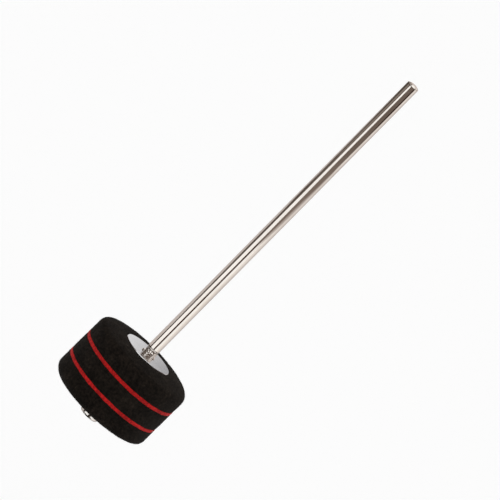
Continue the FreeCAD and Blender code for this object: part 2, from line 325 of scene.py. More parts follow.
def add_ramp(tree, factor, stops):
    """A colour ramp through (place, colour) stops"""
    ramp = add_node(tree, "ShaderNodeValToRGB", {"Fac": factor})
    elements = ramp.color_ramp.elements
    while len(elements) < len(stops):
        elements.new(0.5)
    for element, (place, colour) in zip(elements, stops):
        element.position = place
        element.color = (*colour, 1.0)
    return ramp.outputs["Color"]


def add_range(tree, value, low, high, from_low=0.0, from_high=1.0):
    """A value brought from one range to another"""
    inputs = {"Value": value, "From Min": from_low, "From Max": from_high, "To Min": low, "To Max": high}
    return add_node(tree, "ShaderNodeMapRange", inputs).outputs["Result"]


def add_bump(tree, height, strength, distance, normal=None):
    """Fine relief from a height, over the relief of another bump"""
    inputs = {"Height": height, "Strength": strength, "Distance": distance}
    if normal is not None:
        inputs["Normal"] = normal
    return add_node(tree, "ShaderNodeBump", inputs).outputs["Normal"]


def add_stretch(tree, where, scale):
    """Coordinates with their own scale along each axis"""
    return add_node(tree, "ShaderNodeMapping", {"Vector": where, "Scale": scale}).outputs["Vector"]


def felt_material(name, deep, middle, pale, sheen, sheen_tint):
    """Pressed wool: curled fibres that catch the light, in cloudy patches, with a soft sheen"""
    material, tree, output = new_material(name)
    where = add_node(tree, "ShaderNodeTexCoord").outputs["Object"]
    fibres = add_noise(tree, where, scale=1500.0, detail=5.0, roughness=0.62, distortion=1.2,
                       kind="RIDGED_MULTIFRACTAL")
    wool = add_noise(tree, where, scale=5200.0, detail=3.0, roughness=0.6, distortion=0.8)
    clouds = add_noise(tree, where, scale=140.0, detail=3.0, roughness=0.55)
    tufts = add_noise(tree, where, scale=850.0, detail=2.0, roughness=0.6)
    tuft_weight = 1.4
    uneven = add_math(tree, "ADD", clouds, add_math(tree, "MULTIPLY", tufts, tuft_weight))
    patchy = add_math(tree, "ADD", add_math(tree, "MULTIPLY", fibres, wool), uneven)
    shade = add_range(tree, patchy, 0.0, 1.0, from_low=1.00, from_high=2.12)
    colour = add_ramp(tree, shade, [(0.0, deep), (0.45, middle), (1.0, pale)])
    coarse = add_bump(tree, fibres, strength=0.55, distance=0.00030)
    shader = add_node(tree, "ShaderNodeBsdfPrincipled", {
        "Base Color": colour,
        "Roughness": add_range(tree, wool, 0.86, 1.0),
        "Specular IOR Level": 0.12,
        "Sheen Weight": sheen,
        "Sheen Roughness": 0.45,
        "Sheen Tint": (*sheen_tint, 1.0),
        "Normal": add_bump(tree, wool, strength=0.45, distance=0.00012, normal=coarse),
    })
    tree.links.new(shader.outputs[0], output.inputs["Surface"])
    return material


def metal_material(name, colour, tarnish, roughness, grain_scale, grain_strength, rings=None):
    """Plated steel: a tinted mirror with fine working marks, faint stains and uneven gloss"""
    material, tree, output = new_material(name)
    where = add_node(tree, "ShaderNodeTexCoord").outputs["Object"]
    mark_depth = 0.00002
    stains = add_noise(tree, where, scale=90.0, detail=4.0, roughness=0.6)
    marks = add_noise(tree, add_stretch(tree, where, grain_scale), scale=1.0, detail=4.0, roughness=0.65)
    normal = add_bump(tree, marks, grain_strength, mark_depth)
    if rings is not None:
        turned = turning_marks(tree, where, rings)
        normal = add_bump(tree, turned, strength=0.10, distance=mark_depth, normal=normal)
        buckles = add_noise(tree, where, scale=55.0, detail=1.0)
        normal = add_bump(tree, buckles, strength=0.35, distance=0.0006, normal=normal)
    shader = add_node(tree, "ShaderNodeBsdfPrincipled", {
        "Base Color": add_ramp(tree, stains, [(0.30, tarnish), (0.58, colour)]),
        "Roughness": add_range(tree, add_math(tree, "MULTIPLY", marks, stains), *roughness,
                               from_low=0.1, from_high=0.45),
        "Metallic": 1.0,
        "Normal": normal,
    })
    tree.links.new(shader.outputs[0], output.inputs["Surface"])
    return material


def turning_marks(tree, where, spacing):
    """Uneven rings about the shaft's axis, as a lathe or a press leaves them"""
    flat = add_stretch(tree, where, (1.0, 1.0, 0.0))
    distance = add_node(tree, "ShaderNodeVectorMath", {0: flat}, operation="LENGTH").outputs["Value"]
    scaled = add_math(tree, "MULTIPLY", distance, 1 / spacing)
    return add_node(tree, "ShaderNodeTexNoise", {"W": scaled, "Scale": 1.0, "Detail": 3.0},
                    noise_dimensions="1D").outputs["Fac"]


def nylon_material(name, colour, tint):
    """Moulded nylon: milky, faintly mottled, with a soft gloss"""
    material, tree, output = new_material(name)
    where = add_node(tree, "ShaderNodeTexCoord").outputs["Object"]
    mottle = add_noise(tree, where, scale=700.0, detail=3.0, roughness=0.6)
    shader = add_node(tree, "ShaderNodeBsdfPrincipled", {
        "Base Color": add_ramp(tree, mottle, [(0.3, tint), (0.7, colour)]),
        "Roughness": add_range(tree, mottle, 0.35, 0.5),
        "Normal": add_bump(tree, mottle, strength=0.15, distance=0.00005),
    })
    tree.links.new(shader.outputs[0], output.inputs["Surface"])
    return material


black_felt = felt_material(
    "black_felt", deep=(0.0036, 0.0025, 0.0018), middle=(0.0125, 0.0088, 0.0062),
    pale=(0.052, 0.0375, 0.0275), sheen=0.038, sheen_tint=(0.60, 0.52, 0.44))
red_felt = felt_material(
    "red_felt", deep=(0.26, 0.006, 0.006), middle=(0.53, 0.012, 0.012),
    pale=(0.80, 0.044, 0.040), sheen=0.10, sheen_tint=(1.0, 0.45, 0.42))
rod_metal = metal_material(
    "polished_rod", colour=(0.96, 0.905, 0.845), tarnish=(0.88, 0.82, 0.755), roughness=(0.04, 0.10),
    grain_scale=(2600.0, 2600.0, 70.0), grain_strength=0.10)
nut_metal = metal_material(
    "plated_nut", colour=(0.92, 0.89, 0.85), tarnish=(0.74, 0.69, 0.62), roughness=(0.06, 0.16),
    grain_scale=(900.0, 900.0, 900.0), grain_strength=0.12)
washer_metal = metal_material(
    "plated_washer", colour=(0.81, 0.81, 0.82), tarnish=(0.69, 0.685, 0.68), roughness=(0.12, 0.22),
    grain_scale=(700.0, 700.0, 700.0), grain_strength=0.30, rings=0.00022)
white_nylon = nylon_material("white_nylon", colour=(0.72, 0.70, 0.64), tint=(0.62, 0.60, 0.54))


# Felts

def line(start, end, relief, step=FELT_STEP):
    """Points of a profile from start up to, but not at, end, with the relief each one carries"""
    count = max(1, round(math.dist(start, end) / step))
    share = np.arange(count)[:, None] / count
    points = np.array(start) + share * (np.array(end) - np.array(start))
    return np.hstack((points, np.full((count, 1), relief)))


def arc(centre, radius, start, end, relief, step=FELT_STEP):
    """Points of a profile round an arc between two angles, without the last one"""
    count = max(3, round(radius * abs(end - start) / step))
    angle = start + np.arange(count) / count * (end - start)
    return np.stack((centre[0] + radius * np.cos(angle), centre[1] + radius * np.sin(angle),
                     np.full(count, relief)), -1)


def flat_profile(thickness):
    """A felt disc with straight sides: up its bore, out along the top, down the side and back"""
    quarter = math.pi / 2
    outside = HEAD_RADIUS - LAYER_EDGE
    return np.vstack((
        line((FELT_BORE, 0), (FELT_BORE, thickness), 0, HIDDEN_STEP),
        line((FELT_BORE, thickness), (outside, thickness), 0, HIDDEN_STEP),
        arc((outside, thickness - LAYER_EDGE), LAYER_EDGE, quarter, 0, EDGE_RELIEF),
        line((HEAD_RADIUS, thickness - LAYER_EDGE), (HEAD_RADIUS, LAYER_EDGE), 1),
        arc((outside, LAYER_EDGE), LAYER_EDGE, 0, -quarter, EDGE_RELIEF),
        line((outside, 0), (FELT_BORE, 0), 0, HIDDEN_STEP),
    ))


def crowned_profile(thickness, seat_depth):
    """An outer felt on its flat face: bore, seat of the washer, crowned face, rounded rim and side"""
    quarter = math.pi / 2
    run = HEAD_RADIUS - SEAT_RADIUS
    crown = (run * run + CROWN_DROP * CROWN_DROP) / (2 * CROWN_DROP)
    crown_centre = (SEAT_RADIUS, thickness - crown)
    rim_across = HEAD_RADIUS - RIM_RADIUS
    rim_up = crown_centre[1] + math.sqrt((crown - RIM_RADIUS) ** 2 - (rim_across - SEAT_RADIUS) ** 2)
    meeting = math.atan2(rim_up - crown_centre[1], rim_across - SEAT_RADIUS)
    lip = math.acos(SEAT_EDGE / crown)
    seat = thickness - seat_depth
    outside = HEAD_RADIUS - LAYER_EDGE
    return np.vstack((
        line((FELT_BORE, 0), (FELT_BORE, seat), 0, HIDDEN_STEP),
        line((FELT_BORE, seat), (SEAT_RADIUS, seat), 0, HIDDEN_STEP),
        line((SEAT_RADIUS, seat), (SEAT_RADIUS, thickness - SEAT_EDGE), 0, HIDDEN_STEP),
        arc((SEAT_RADIUS + SEAT_EDGE, thickness - SEAT_EDGE), SEAT_EDGE, 2 * quarter, quarter, LIP_RELIEF),
        arc(crown_centre, crown, lip, meeting, 1),
        arc((rim_across, rim_up), RIM_RADIUS, meeting, 0, 1),
        line((HEAD_RADIUS, rim_up), (HEAD_RADIUS, LAYER_EDGE), 1),
        arc((outside, LAYER_EDGE), LAYER_EDGE, 0, -quarter, EDGE_RELIEF),
        line((outside, 0), (FELT_BORE, 0), 0, HIDDEN_STEP),
    ))


def felt_normals(profile, angles):
    """The way out of a felt: across and up for each row of its profile, and in space for each point"""
    along = np.roll(profile, -1, 0) - np.roll(profile, 1, 0)
    outward = np.stack((-along[:, 1], along[:, 0]), -1)
    outward /= np.linalg.norm(outward, axis=1, keepdims=True)
    return outward, swept(outward[:, :1], outward[:, 1], angles)


def matting(points, relief):
    """How far lumps and tufts of wool stand out at each point"""
    lumps = each_point(lambda p: noise.noise(p / LUMP_SIZE), points)
    tufts = fractal(points, MAT_SIZE, MAT_OCTAVES, MAT_FADE)
    return relief[:, None] * (LUMP_HEIGHT * lumps + MAT_HEIGHT * tufts)


def swelling(outward, angles, rim_swells):
    """How far a felt is fuller than its profile: evenly on its side, and on its rim from side to side"""
    across, up = outward.T
    towards = (1 + np.cos(angles - SLOPE_TOWARDS)) / 2
    rim_swell = rim_swells[0] * towards + rim_swells[1] * (1 - towards)
    return np.outer((2 * across * up) ** 2, rim_swell) + (SIDE_SWELL * across ** 2)[:, None]


def seam_wander(seam, angles):
    """How far a glued seam strays up or down round the head, each in its own way"""
    circle = swept(HEAD_RADIUS, np.array([seam * SEAM_SPREAD]), angles)[0]
    return SEAM_WANDER * fractal(circle, SEAM_LENGTH, SEAM_OCTAVES)


def seam_shifts(heights, angles):
    """How far the rows of a side follow the seams, which stray and creep over the red felts"""
    places = (SEAMS[0] - SEAM_REACH, *SEAMS, SEAMS[-1] + SEAM_REACH)
    strays = [seam_wander(seam, angles) + creep for seam, creep in zip(SEAMS, SEAM_CREEP)]
    still = np.zeros(len(angles))
    shares = [np.interp(heights, places, alone) for alone in np.eye(len(places))]
    return np.stack(shares, -1) @ np.stack((still, *strays, still))


def sag(points):
    """Sinks the lip of the top felt beside one edge of its washer"""
    around = np.arctan2(points[..., 1], points[..., 0]) - SAG_TOWARDS
    beside = np.maximum(np.cos(around), 0) ** SAG_FOCUS
    from_seat = np.hypot(points[..., 0], points[..., 1]) - SEAT_RADIUS
    near_lip = (1 - smooth_step(0, SAG_REACH, from_seat)) * smooth_step(-SEAT_WALL, 0, from_seat)
    near_top = smooth_step(HEAD_TOP - SAG_START, HEAD_TOP - SAG_WHOLE, points[..., 2])
    points[..., 2] -= SAG_DEPTH * beside * near_lip * near_top


def lean(points):
    """Tips the soft outer part of a felt out of square"""
    towards = np.array((math.cos(SLOPE_TOWARDS), math.sin(SLOPE_TOWARDS)))
    share = smooth_step(SLOPE_FROM, SLOPE_FROM + SLOPE_RUN, np.hypot(points[..., 0], points[..., 1]))
    slope = np.interp(points[..., 2], (HEAD_BOTTOM, SEAMS[0], SEAMS[-1], HEAD_TOP),
                      (BOTTOM_SLOPE, SEAM_SLOPE, SEAM_SLOPE, TOP_SLOPE))
    sideways = share * SEAM_SLOPE * (SEAMS[-1] - points[..., 2])
    points[..., 2] += share * slope * (points[..., :2] @ towards)
    points[..., :2] += sideways[..., None] * towards


def felt_rows(profile, base, flip, rim_swells):
    """A felt's points: its profile swept round, with matted relief, an uneven rim and seams that wander"""
    angles = round_angles(FELT_SIDES)
    if flip:
        profile = profile[::-1] * (1, -1, 1)
    radius, above, relief = profile.T
    heights = base + above
    points = swept(radius[:, None], heights, angles)
    outward, normals = felt_normals(profile, angles)
    shown = relief > 0
    points[shown] += normals[shown] * matting(points[shown], relief[shown])[..., None]
    swell = (relief >= 1)[:, None] * swelling(outward, angles, rim_swells)
    points += normals * swell[..., None]
    near_edge = smooth_step(HEAD_RADIUS - SEAM_REACH, HEAD_RADIUS, radius)
    points[..., 2] += near_edge[:, None] * seam_shifts(heights, angles)
    sag(points)
    lean(points)
    return points, normals, relief


def wool_fibres(points, normals, relief, seed):
    """Short curled fibres that lie on the shown part of a felt, as closed threads"""
    chance = np.random.default_rng(seed)
    shown = np.flatnonzero(relief >= 1)[:-1]
    here, after = points[shown], points[shown + 1]
    area = np.linalg.norm(after - here, axis=-1) * np.linalg.norm(np.roll(here, -1, 1) - here, axis=-1)
    count = int(area.sum() * FIBRES_PER_SQUARE_METRE)
    picked = chance.choice(area.size, count, p=(area / area.sum()).ravel())
    row, side = np.unravel_index(picked, area.shape)
    root = here[row, side] + chance.random((count, 1)) * (after[row, side] - here[row, side])
    up = normals[shown[row], side]
    lie = np.cross(up, chance.normal(size=(count, 3)))
    lie /= np.linalg.norm(lie, axis=1, keepdims=True)
    curl = np.cross(up, lie)
    length = chance.uniform(*FIBRE_LENGTH, (count, 1))
    lift = chance.uniform(*FIBRE_LIFT, (count, 1))
    bend = chance.normal(0, FIBRE_BEND, (count, 1))
    rings = []
    for share in np.linspace(0, 1, FIBRE_RINGS):
        middle = (root + lie * length * share + curl * length * bend * share * share
                  + up * (lift * math.sin(FIBRE_ARCH * share) - FIBRE_RADIUS))
        width = FIBRE_RADIUS * (1 - FIBRE_TAPER * share)
        for turn in round_angles(FIBRE_SIDES):
            rings.append(middle + width * (math.cos(turn) * curl + math.sin(turn) * up))
    return np.stack(rings, 1), fibre_faces(count)


def fibre_faces(count):
    """Faces of closed threads, one after the other"""
    faces = []
    for ring in range(FIBRE_RINGS - 1):
        for side in range(FIBRE_SIDES):
            here, beside = ring * FIBRE_SIDES + side, ring * FIBRE_SIDES + (side + 1) % FIBRE_SIDES
            faces.append((here, beside, beside + FIBRE_SIDES, here + FIBRE_SIDES))
    last = (FIBRE_RINGS - 1) * FIBRE_SIDES
    ends = [tuple(reversed(range(FIBRE_SIDES))), tuple(range(last, last + FIBRE_SIDES))]
    starts = np.arange(count)[:, None, None] * FIBRE_RINGS * FIBRE_SIDES
    skins = (starts + np.array(faces)).reshape(-1, 4).tolist()
    caps = (starts + np.array(ends)).reshape(-1, FIBRE_SIDES).tolist()
    return skins + caps


def make_felt(node, rows, material, seed):
    """A felt of the head in place of its solid, with its loose wool"""
    points, normals, relief = rows
    faces = grid_faces(len(points), FELT_SIDES, True, downward=True)
    felt = make_piece(f"{node}_wool", points, faces, material)
    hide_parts(node)
    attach(felt, "head")
    threads, faces = wool_fibres(points, normals, relief, seed)
    nap = make_piece(f"{node}_nap", threads, faces, material)
    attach(nap, "head")


def make_head():
    """The five felts, from the bottom"""
    seats = {"bottom_felt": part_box("lower_washer")[1].z - HEAD_BOTTOM,
             "top_felt": HEAD_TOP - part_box("upper_washer")[0].z}
    for seed, name in enumerate(FELTS):
        low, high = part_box(name)
        thickness = high.z - low.z
        profile = crowned_profile(thickness, seats[name]) if name in seats else flat_profile(thickness)
        flip = name == "bottom_felt"
        rows = felt_rows(profile, high.z if flip else low.z, flip, RIM_SWELLS.get(name, (0, 0)))
        red = "red" in name
        make_felt(name, rows, red_felt if red else black_felt, seed)


make_head()


# Shaft

def thread_profile(angles, heights, crest):
    """Radius of a right-hand thread: crests an eighth of the pitch wide, roots a quarter"""
    turn = (heights[:, None] / THREAD_PITCH - angles / (2 * math.pi)) % 1.0
    from_crest = np.abs(turn - 0.5)
    flank = np.clip((from_crest - CREST_END) / (ROOT_START - CREST_END), 0, 1)
    return crest - THREAD_DEPTH * flank


def threaded_end(angles):
    """Rows of the threaded end: chamfered at the bottom, running out at the top"""
    heights = np.arange(0, THREAD_LENGTH + THREAD_RUN_OUT, THREAD_PITCH / THREAD_ROWS_PER_TURN)
    radii = thread_profile(angles, heights, THREAD_RADIUS)
    running_out = smooth_step(THREAD_LENGTH, THREAD_LENGTH + THREAD_RUN_OUT, heights)[:, None]
    radii = radii + (THREAD_RADIUS - radii) * running_out
    lead_in = THREAD_RADIUS - THREAD_LEAD_IN + heights[:, None]
    return np.minimum(radii, lead_in), heights


def rod_and_ears(above, across):
    """Reach of the pinched rod: it widens to the shank, with an ear along X on each side"""
    rod = THREAD_RADIUS + (SHANK_RADIUS - THREAD_RADIUS) * above / CRIMP_LENGTH
    slope = 1 - np.clip((above - EAR_LIP / 2) / (EAR_HEIGHT - EAR_LIP / 2), 0, 1)
    ear_tip = THREAD_RADIUS + (EAR_REACH - THREAD_RADIUS) * slope ** EAR_HOLLOW
    ear = soft_min(ear_tip[:, None], EAR_HALF_THICKNESS / across, CRIMP_SOFTNESS)
    return soft_max(rod[:, None] - CRIMP_SOFTNESS / 2, ear, CRIMP_SOFTNESS)


def jaw_flats(above, angles):
    """Reach of the four flats, which open at both ends"""
    quarter = math.pi / 2
    from_flat = angles % quarter - quarter / 2
    ends = smooth_step(FLAT_FROM, 0, above) + smooth_step(FLAT_TO, CRIMP_LENGTH, above)
    reach = FLAT_REACH + (SHANK_RADIUS - FLAT_REACH) * FLAT_OPENING * ends
    return reach[:, None] / np.cos(from_flat)


def squeezed_neck(above, angles):
    """Reach of the flat squeezed in above the ear on the side of -X"""
    reach = np.interp(above, NECK_HEIGHTS, NECK_REACHES)
    return reach[:, None] / np.maximum(-np.cos(angles), LEAST_ACROSS)


def punched_dent(above, across):
    """Reach of the round groove that is punched across the front and the back"""
    from_punch = np.clip((above - PUNCH_RISE) / PUNCH_RADIUS, -1, 1)
    reach = THREAD_RADIUS + PUNCH_RADIUS - PUNCH_DEPTH - PUNCH_RADIUS * np.sqrt(1 - from_punch ** 2)
    return reach[:, None] / across


def crimp(angles):
    """Rows of the pinched rod: two ears along X that rest on the washer, and a toothed dent on each side"""
    above = np.arange(CRIMP_FOOT, CRIMP_LENGTH, CRIMP_STEP)
    heights = WASHER_TOP + above
    across = np.maximum(np.abs(np.sin(angles)), LEAST_ACROSS)
    squared = soft_min(rod_and_ears(above, across), jaw_flats(above, angles), FLAT_SOFTNESS)
    squared = soft_min(squared, squeezed_neck(above, angles), FLAT_SOFTNESS)
    pinched = soft_min(squared, punched_dent(above, across), CRIMP_SOFTNESS)
    bitten = TOOTH_SHARE + (1 - TOOTH_SHARE) * smooth_step(0, PUNCH_DEPTH / 2, squared - pinched)
    up_teeth = np.cos(2 * math.pi * above / TOOTH_PITCH)[:, None]
    teeth = np.cos(TEETH_ROUND * (angles - TOOTH_TURN)) * up_teeth
    rough = fractal(swept(pinched, heights, angles), DENT_SIZE, DENT_OCTAVES)
    marks = bitten * TOOTH_HEIGHT * teeth + DENT_HEIGHT * rough
    radii = pinched + np.sin(math.pi * above / CRIMP_LENGTH)[:, None] * marks
    to_shank = smooth_step(CRIMP_FADE * CRIMP_LENGTH, CRIMP_LENGTH, above)[:, None]
    return radii + (SHANK_RADIUS - radii) * to_shank, heights


def tip_rows():
    """The chamfered tip, with its two edges just broken"""
    edge = SHAFT_TOP - TIP_CHAMFER_HEIGHT
    inner = SHANK_RADIUS - TIP_CHAMFER_WIDTH
    bend = TIP_BEND * TIP_ROUND
    radii = (SHANK_RADIUS, SHANK_RADIUS - bend, SHANK_RADIUS - TIP_ROUND,
             inner + TIP_ROUND, inner + bend, inner - TIP_ROUND)
    heights = (edge - TIP_ROUND, edge + bend, edge + TIP_ROUND,
               SHAFT_TOP - TIP_ROUND, SHAFT_TOP - bend, SHAFT_TOP)
    return np.array(radii), np.array(heights)


def make_shaft():
    """The rod with its thread, pinched ears, shank and tip in place of its solid"""
    angles = round_angles(SHAFT_SIDES)
    thread_radii, thread_heights = threaded_end(angles)
    plain_heights = np.linspace(thread_heights[-1] + PLAIN_START, WASHER_TOP - PLAIN_END, PLAIN_ROWS)
    crimp_radii, crimp_heights = crimp(angles)
    shank_top = SHAFT_TOP - TIP_CHAMFER_HEIGHT - SHANK_END
    shank_heights = np.linspace(WASHER_TOP + CRIMP_LENGTH, shank_top, SHANK_ROWS)
    tip_radii, tip_heights = tip_rows()
    radii = np.vstack((
        thread_radii,
        all_round(np.full(PLAIN_ROWS, THREAD_RADIUS)),
        crimp_radii,
        all_round(np.full(SHANK_ROWS, SHANK_RADIUS)),
        all_round(tip_radii),
    ))
    heights = np.concatenate((thread_heights, plain_heights, crimp_heights, shank_heights, tip_heights))
    points = swept(radii, heights, angles).reshape(-1, 3)
    faces = grid_faces(len(heights), SHAFT_SIDES, False)
    last = len(points) - SHAFT_SIDES
    points = np.vstack((points, (0, 0, heights[0]), (0, 0, heights[-1])))
    for side in range(SHAFT_SIDES):
        beside = (side + 1) % SHAFT_SIDES
        faces.append((len(points) - 2, beside, side))
        faces.append((len(points) - 1, last + side, last + beside))
    rod = make_piece("shaft_rod", points, faces, rod_metal, METAL_SHARP)
    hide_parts("shaft")
    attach(rod, "shaft")


make_shaft()


# Nut and washers

def nut_outside(heights, angles, low, high):
    """Radii of the lock nut: a hexagon with a corner along Y, chamfered on top, and a collar below"""
    side = 2 * math.pi / NUT_SIDES
    from_flat = (angles + side / 2) % side - side / 2
    hexagon = high.x / np.cos(from_flat)
    above = (heights - low.z)[:, None]
    top_cone = NUT_CORNER_RADIUS + (high.z - low.z - above) / NUT_CHAMFER_SLOPE
    shoulder = COLLAR_RADIUS + (above - COLLAR_HEIGHT) / NUT_CHAMFER_SLOPE
    into_edge = np.clip(COLLAR_EDGE - above, 0, COLLAR_EDGE)
    collar = COLLAR_RADIUS - COLLAR_EDGE + np.sqrt(COLLAR_EDGE ** 2 - into_edge ** 2)
    below = np.where(above > COLLAR_HEIGHT, shoulder, collar)
    return np.minimum(np.minimum(hexagon, top_cone), below)


def make_nut():
    """The lock nut with its thread, and the hollow of its nylon ring, in place of its solid"""
    angles = round_angles(SHAFT_SIDES)
    low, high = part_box("clamp_nut")
    ring_low, ring_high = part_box("locking_ring")
    seat_radius = ring_high.x + RING_CLEARANCE
    mouth_radius = NUT_BORE_RADIUS + NUT_COUNTERSINK
    outside_heights = np.arange(high.z, low.z - NUT_ROW / 2, -NUT_ROW)
    outside_radii = nut_outside(outside_heights, angles, low, high)
    hollow = ((COLLAR_MOUTH_RADIUS, low.z), (COLLAR_MOUTH_RADIUS, ring_low.z), (seat_radius, ring_low.z),
              (seat_radius, ring_high.z))
    hollow_radii, hollow_heights = np.array(hollow).T
    thread_heights = np.arange(ring_high.z, high.z, THREAD_PITCH / THREAD_ROWS_PER_TURN)
    thread_radii = thread_profile(angles, thread_heights, NUT_BORE_RADIUS)
    countersink = mouth_radius - (high.z - thread_heights)
    thread_radii = np.maximum(thread_radii, countersink[:, None])
    radii = np.vstack((outside_radii, all_round(hollow_radii), thread_radii, all_round(mouth_radius)))
    heights = np.concatenate((outside_heights, hollow_heights, thread_heights, (high.z,)))
    points = swept(radii, heights, angles)
    faces = grid_faces(len(heights), SHAFT_SIDES, True, downward=True)
    nut = make_piece("lock_nut", points, faces, nut_metal, METAL_SHARP)
    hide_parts("clamp_nut")
    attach(nut, "nut")


def make_washer(node, body, face_up):
    """A pressed washer in place of its solid: chamfered round its outer face, its other edges just broken"""
    low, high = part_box(node)
    thickness = high.z - low.z
    rim, inner = high.x, WASHER_BORE + WASHER_BREAK
    profile = np.array((
        (WASHER_BORE, WASHER_BREAK), (WASHER_BORE, thickness - WASHER_BREAK), (inner, thickness),
        (rim - WASHER_CHAMFER, thickness), (rim, thickness - WASHER_CHAMFER),
        (rim, WASHER_BREAK), (rim - WASHER_BREAK, 0), (inner, 0),
    ))
    if not face_up:
        profile = profile[::-1] * (1, -1) + (0, thickness)
    points = swept(profile[:, :1], low.z + profile[:, 1], round_angles(SHAFT_SIDES))
    faces = grid_faces(len(profile), SHAFT_SIDES, True, downward=True)
    washer = make_piece(f"{node}_plate", points, faces, washer_metal, WASHER_SHARP)
    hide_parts(node)
    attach(washer, body)


def finish_ring(node):
    """The nylon ring keeps its solid's shape, with its edges broken as a mould leaves them"""
    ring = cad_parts[node]
    ring.data.materials.clear()
    ring.data.materials.append(white_nylon)
    weld = ring.modifiers.new("one_skin", "WELD")
    weld.merge_threshold = RING_WELD
    broken = ring.modifiers.new("broken_edges", "BEVEL")
    broken.width = RING_EDGE
    broken.segments = RING_SEGMENTS
    broken.limit_method = "ANGLE"
    broken.angle_limit = math.radians(RING_SHARP)
    broken.harden_normals = True


make_nut()
finish_ring("locking_ring")
make_washer("upper_washer", "head", True)
make_washer("lower_washer", "lower_washer", False)


# Stage

def camera_side(angle):
    """The direction at an angle to the right of the camera's, level with the floor"""
    turn = AZIMUTH + angle
    return Vector((math.sin(turn), -math.cos(turn), 0))


def seen_by_eye_and_mirror(tree):
    """1 for rays that show the stage to the camera, in a reflection or through glass, else 0"""
    path = add_node(tree, "ShaderNodeLightPath").outputs
    shiny = add_math(tree, "MAXIMUM", path["Is Camera Ray"], path["Is Glossy Ray"])
    return add_math(tree, "MAXIMUM", shiny, path["Is Transmission Ray"])


def make_world():
    """White to the eye and in the metal, and an even soft light on the felt"""
    world = bpy.data.worlds.new("studio")
    world.use_nodes = True
    tree = world.node_tree
    background = tree.nodes["Background"]
    background.inputs["Color"].default_value = (1.0, 1.0, 1.0, 1.0)
    strength = add_range(tree, seen_by_eye_and_mirror(tree), *AIR_STRENGTH)
    tree.links.new(strength, background.inputs["Strength"])
    bpy.context.scene.world = world


def make_floor():
    """A pale floor under the held beater, white where nothing shades it and open from below"""
    material, tree, output = new_material("pale_floor")
    paint = add_node(tree, "ShaderNodeBsdfDiffuse", {"Color": (*FLOOR_PAINT, 1.0)}).outputs[0]
    strength = add_range(tree, seen_by_eye_and_mirror(tree), *FLOOR_STRENGTH)
    glow = add_node(tree, "ShaderNodeEmission", {"Strength": strength}).outputs[0]
    lit = add_node(tree, "ShaderNodeAddShader", {0: paint, 1: glow}).outputs[0]
    below = add_node(tree, "ShaderNodeNewGeometry").outputs["Backfacing"]
    clear = add_node(tree, "ShaderNodeBsdfTransparent").outputs[0]
    shown = add_node(tree, "ShaderNodeMixShader", {0: below, 1: lit, 2: clear}).outputs[0]
    tree.links.new(shown, output.inputs["Surface"])
    points = swept(FLOOR_RADIUS, np.array([-FLOOR_DROP]), round_angles(FLOOR_SIDES))
    make_object("floor", points, [tuple(range(FLOOR_SIDES))], material)


def make_lamp(name, angle, height, strength, width):
    """A wide soft lamp far off, from an angle to the right of the camera and a height above level"""
    lamp = bpy.data.lights.new(name, "SUN")
    lamp.energy = strength
    lamp.angle = math.radians(width)
    holder = bpy.data.objects.new(name, lamp)
    bpy.context.scene.collection.objects.link(holder)
    level = math.radians(height)
    towards = camera_side(math.radians(angle)) * math.cos(level) + Vector((0, 0, math.sin(level)))
    holder.rotation_euler = towards.to_track_quat("Z", "Y").to_euler()
    holder.visible_glossy = False


def card_material():
    """Glow of the cards, which carry their shade on their points: painted reflections that only the metal
    sees
    """
    material, tree, output = new_material("card_paint")
    shade = add_node(tree, "ShaderNodeAttribute", attribute_name="shade").outputs["Color"]
    glow = add_node(tree, "ShaderNodeEmission", {"Color": shade}).outputs[0]
    tree.links.new(glow, output.inputs["Surface"])
    return material


card_paint = card_material()


def hide_from_all_but_mirrors(card):
    """Leaves a card to reflections alone"""
    for kind in ("camera", "diffuse", "shadow", "transmission"):
        setattr(card, f"visible_{kind}", False)


def make_card(name, rows, left_shade, right_shade=None):
    """A curved card that only the metal mirrors. Its rows are a distance, a height and two angles in degrees
    to the right of the camera, for the left and the right end, and its shade may fade between them."""
    right_shade = right_shade or left_shade
    points, shades = [], []
    for distance, height, left, right in rows:
        for column in range(CARD_COLUMNS + 1):
            share = column / CARD_COLUMNS
            side = camera_side(math.radians(left + (right - left) * share))
            points.append(side * distance + Vector((0, 0, height)))
            shades.extend((*(a + (b - a) * share for a, b in zip(left_shade, right_shade)), 1.0))
    wide = CARD_COLUMNS + 1
    corners = [row * wide + column for row in range(len(rows) - 1) for column in range(CARD_COLUMNS)]
    faces = [(corner, corner + 1, corner + wide + 1, corner + wide) for corner in corners]
    card = make_object(name, points, faces, card_paint)
    card.data.color_attributes.new("shade", "FLOAT_COLOR", "POINT").data.foreach_set("color", shades)
    hide_from_all_but_mirrors(card)


def upright(distance, *rows):
    """Rows of a card that stands at one distance, through heights with their left and right angles"""
    return [(distance, *row) for row in rows]


def lying(left, right):
    """Rows of a card that lies on the floor, from beside the shaft out to the standing cards"""
    return [(distance, CARD_FLOOR, left, right) for distance in (LYING_FROM, NEAR)]


